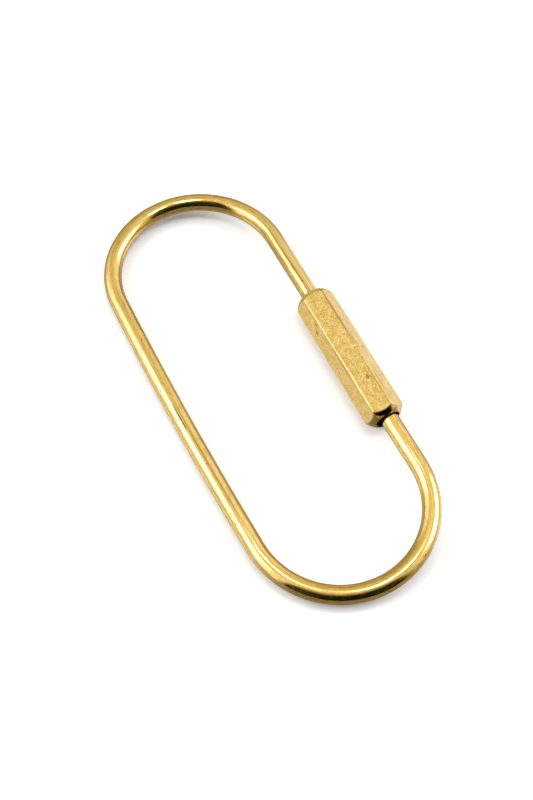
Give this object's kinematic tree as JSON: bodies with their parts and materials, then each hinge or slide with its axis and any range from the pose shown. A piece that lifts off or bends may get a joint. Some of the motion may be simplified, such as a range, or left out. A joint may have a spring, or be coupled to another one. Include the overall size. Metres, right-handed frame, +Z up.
{
  "type": "screw-lock key ring",
  "caption": "Long oval key ring of bent brass rod, closed in one side by a hexagonal brass sleeve that unscrews and slides along the rod to open a gap for keys.",
  "frame": {"origin": "middle of the underside of the part as it lies on a table, where its bounding box's bottom face has its centre", "axes": "+Z up from the table; +Y along the oval towards the sleeve's tapped end; +X across the oval towards the sleeve"},
  "size_m": [0.0346, 0.0812, 0.0066],
  "materials": {
    "drawn_brass": "satin drawn brass with fine lengthwise lines and small pits",
    "tumbled_brass": "matte tumbled brass, mottled, with small scratches"
  },
  "bodies": {
    "ring": {"bow": "drawn_brass"},
    "sleeve": {"hex_sleeve": "tumbled_brass"}
  },
  "joints": [
    {"name": "sleeve_slide", "type": "slide", "parent": "ring", "child": "sleeve", "axis": [0, -1, 0], "range_m": [0, 0.01]}
  ]
}
